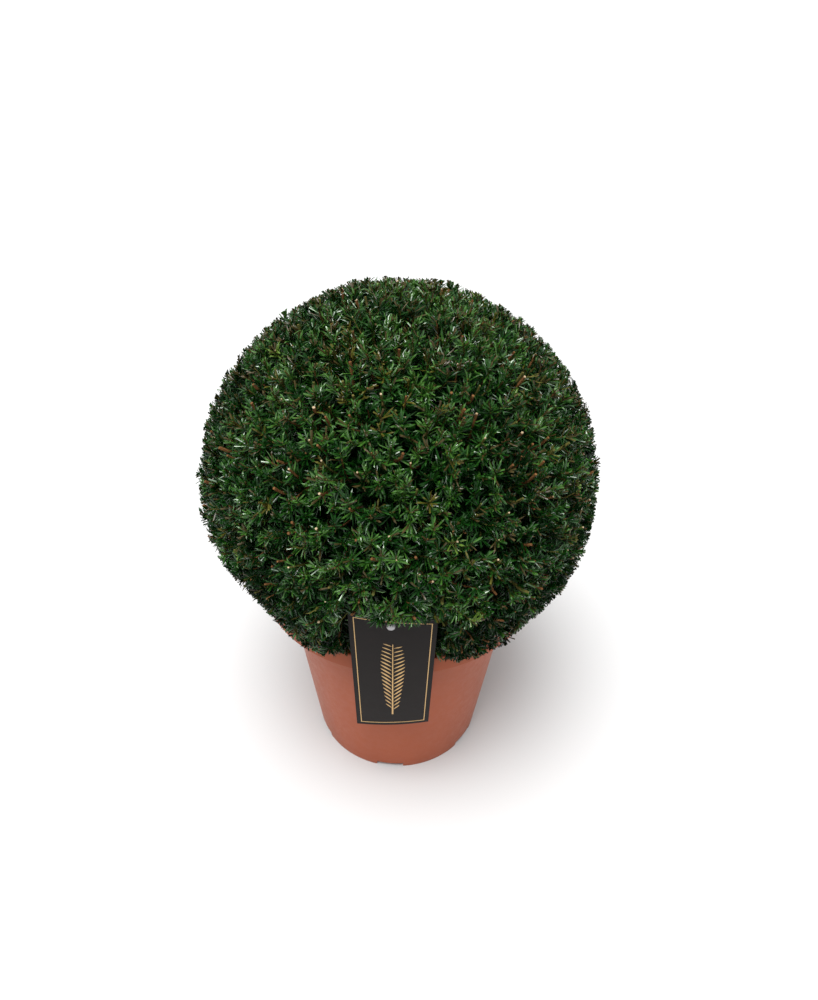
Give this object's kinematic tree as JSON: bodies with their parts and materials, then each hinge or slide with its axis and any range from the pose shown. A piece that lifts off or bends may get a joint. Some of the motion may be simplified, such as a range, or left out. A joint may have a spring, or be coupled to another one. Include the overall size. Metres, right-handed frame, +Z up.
{
  "type": "potted english yew ball",
  "caption": "Clipped yew topiary ball of dense dark green needles in a round terracotta-coloured nursery pot with a wide rim and a dark hanging label.",
  "frame": {"origin": "centre of the circle that the pot's foot ring stands on, at the level of the ground under it", "axes": "+Z up through the stem and the middle of the ball; -Y is the front, where the label hangs"},
  "size_m": [0.3379, 0.34, 0.4723],
  "materials": {
    "pot_plastic": "satin terracotta-coloured moulded plastic",
    "growing_medium": "dark moist peat and composted bark",
    "bark": "reddish brown flaking bark",
    "foliage": "dense dark green glossy needles on fine brown twigs",
    "label_card": null,
    "fastener_plastic": "white plastic button"
  },
  "bodies": {
    "root": {"pot": "pot_plastic", "growing_medium": "growing_medium", "stem": "bark", "bough_1": "bark", "bough_2": "bark", "bough_3": "bark", "bough_4": "bark", "bough_5": "bark", "foliage": "foliage", "label": "label_card", "label_fastener": "fastener_plastic"}
  },
  "joints": []
}
